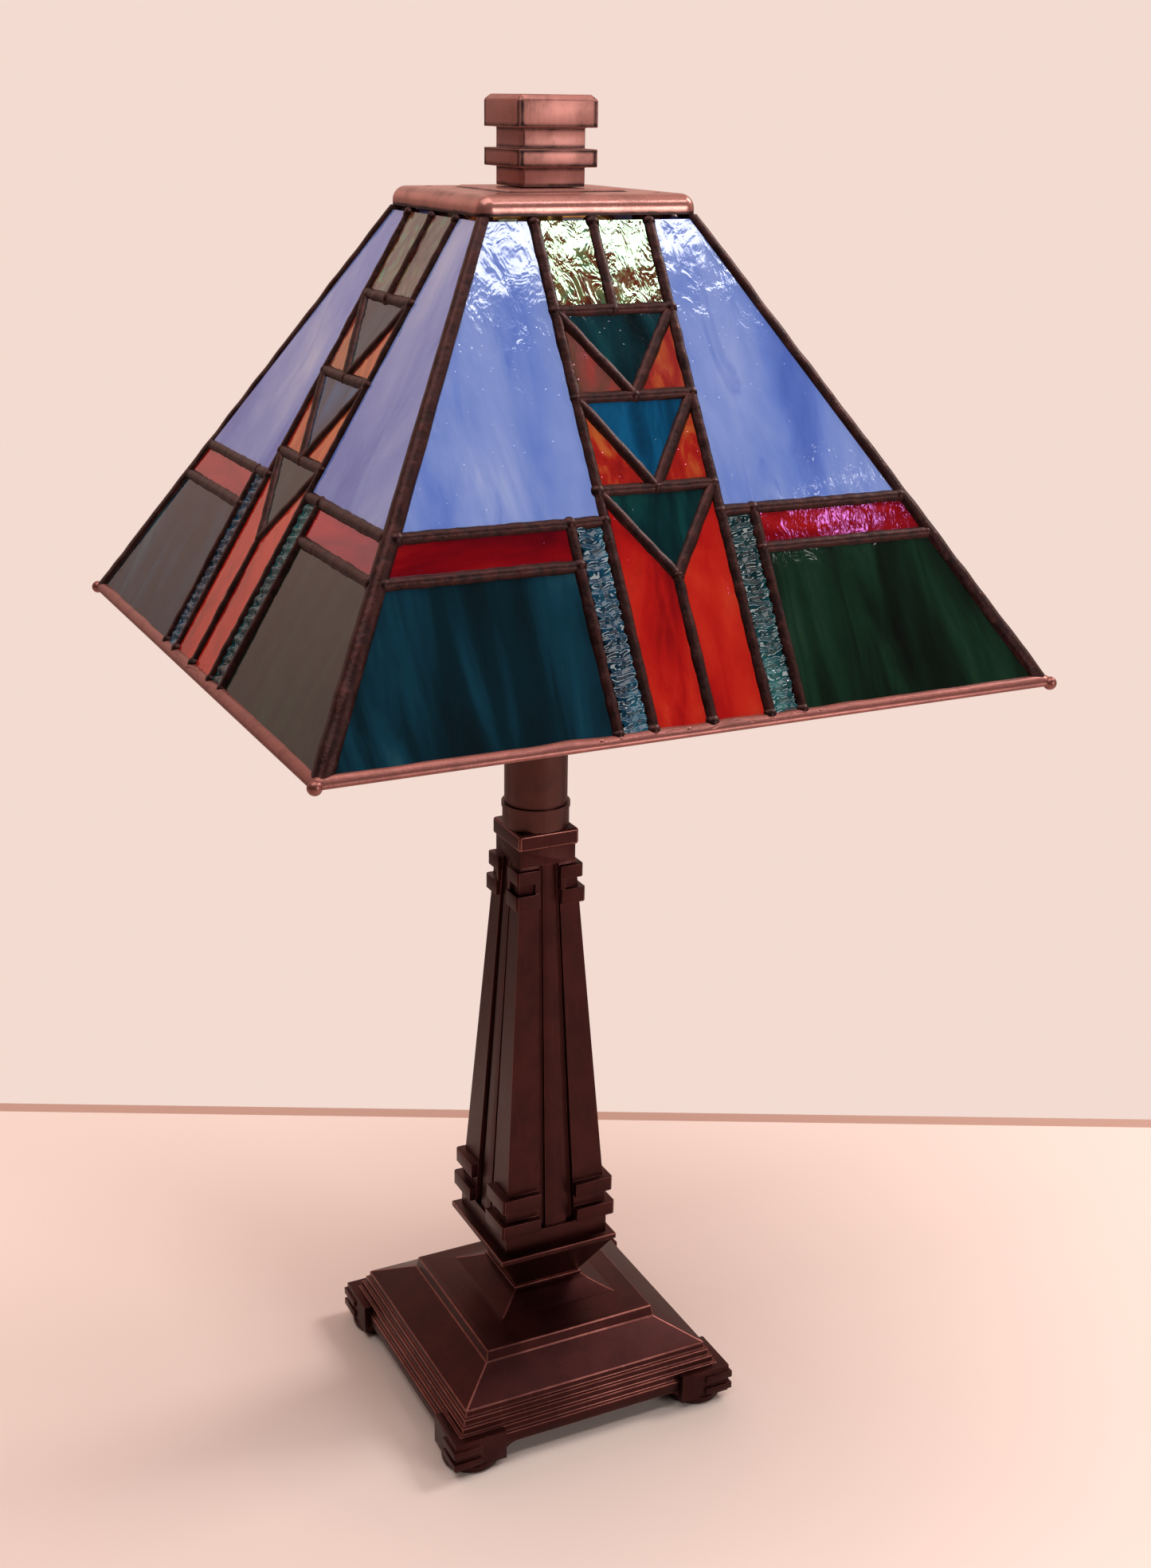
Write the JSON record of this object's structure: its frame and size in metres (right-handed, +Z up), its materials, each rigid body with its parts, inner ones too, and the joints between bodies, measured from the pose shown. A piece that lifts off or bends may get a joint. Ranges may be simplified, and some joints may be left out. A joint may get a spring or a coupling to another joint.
{
  "type": "leaded glass table lamp",
  "caption": "Square table lamp: a sloping four-sided leaded-glass shade under a stacked square finial, on a tapered cast column and a stepped base with bracket feet.",
  "frame": {"origin": "middle of the base on the surface it stands on", "axes": "+Z up through the column; one flat side of the shade and of the base faces -Y; +X to the right seen from there"},
  "size_m": [0.255, 0.255, 0.4791],
  "materials": {
    "bronze": "dark bronze brown, satin",
    "copper_bronze": "antique copper, satin",
    "solder": "copper-brown patina on solder",
    "brass": "plain brass",
    "steel": "zinc plated",
    "iron": "black paint",
    "felt": "felt",
    "black_plastic": "moulded",
    "phenolic": "moulded phenolic",
    "fibre": "fibre sleeve",
    "bulb_glass": "frosted white",
    "bulb_metal": "bright",
    "blue_glass": "opalescent, glossy",
    "iridescent_glass": "iridescent amber, glossy",
    "teal_glass": "streaky teal, glossy",
    "amber_glass": "iridescent amber and red, glossy",
    "flame_glass": "streaky orange red, glossy",
    "ripple_glass": "heavy ripple, glossy",
    "red_glass": "crimson, glossy",
    "dark_glass": "dark blue green, glossy"
  },
  "bodies": {
    "stand": {"base_casting": "bronze", "corner_feet": "bronze", "foot_pads": "felt", "ballast_plate": "iron", "base_washer": "steel", "base_nut": "steel", "lamp_pipe": "steel", "pipe_bushing": "black_plastic", "column_pedestal": "bronze", "column_shaft": "bronze", "column_cap": "bronze", "seating_cup": "copper_bronze", "riser_sleeve": "copper_bronze", "harp_saddle": "brass", "harp_wire": "brass", "harp_seat": "brass", "socket_cap": "brass", "socket_shell": "brass", "socket_liner": "fibre", "socket_block": "phenolic", "screw_shell": "brass", "contact_tab": "brass"},
    "switch": {"switch_stem": "brass", "switch_knob": "black_plastic"},
    "bulb_base": {"bulb_screw_base": "bulb_metal", "bulb_contact": "bulb_metal"},
    "bulb": {"bulb_globe": "bulb_glass"},
    "ferrule_left": {"harp_ferrule_left": "brass"},
    "ferrule_right": {"harp_ferrule_right": "brass"},
    "shade": {"shade_cap": "copper_bronze", "cap_washer": "brass", "hip_seams": "solder", "rim_channels": "solder", "corner_balls": "solder", "solder_lattice_front": "solder", "solder_lattice_right": "solder", "solder_lattice_back": "solder", "solder_lattice_left": "solder", "blue_glass_front": "blue_glass", "red_glass_front": "red_glass", "dark_glass_front": "dark_glass", "blue_glass_right": "blue_glass", "red_glass_right": "red_glass", "dark_glass_right": "dark_glass", "blue_glass_back": "blue_glass", "red_glass_back": "red_glass", "dark_glass_back": "dark_glass", "blue_glass_left": "blue_glass", "red_glass_left": "red_glass", "dark_glass_left": "dark_glass", "iridescent_glass": "iridescent_glass", "teal_glass": "teal_glass", "amber_glass": "amber_glass", "flame_glass": "flame_glass", "ripple_glass": "ripple_glass"},
    "finial_seat": {"finial_felt": "felt"},
    "finial": {"finial_insert": "brass", "finial_block": "copper_bronze"}
  },
  "joints": [
    {"name": "shade_swivel", "type": "hinge", "parent": "stand", "child": "shade", "pos_m": [0, 0, 0.449], "axis": [0, 0, 1], "continuous": true},
    {"name": "switch_turn", "type": "hinge", "parent": "stand", "child": "switch", "pos_m": [0, 0.0167, 0.284], "axis": [0, 1, 0], "continuous": true},
    {"name": "bulb_rise", "type": "slide", "parent": "stand", "child": "bulb_base", "axis": [0, 0, 1], "range_m": [0, 0.01635]},
    {"name": "bulb_turn", "type": "hinge", "parent": "bulb_base", "child": "bulb", "pos_m": [0, 0, 0.33], "axis": [0, 0, 1], "range_deg": [0, 1620]},
    {"name": "ferrule_left_lift", "type": "slide", "parent": "stand", "child": "ferrule_left", "axis": [0, 0, 1], "range_m": [0, 0.008]},
    {"name": "ferrule_right_lift", "type": "slide", "parent": "stand", "child": "ferrule_right", "axis": [0, 0, 1], "range_m": [0, 0.008]},
    {"name": "finial_rise", "type": "slide", "parent": "stand", "child": "finial_seat", "axis": [0, 0, 1], "range_m": [0, 0.008]},
    {"name": "finial_turn", "type": "hinge", "parent": "finial_seat", "child": "finial", "pos_m": [0, 0, 0.455], "axis": [0, 0, 1], "range_deg": [0, 3060]}
  ],
  "couplings": [
    {"joint": "bulb_rise", "follows": "bulb_turn", "m_per_rad": 0.00057757},
    {"joint": "finial_rise", "follows": "finial_turn", "m_per_rad": 0.00014972}
  ]
}
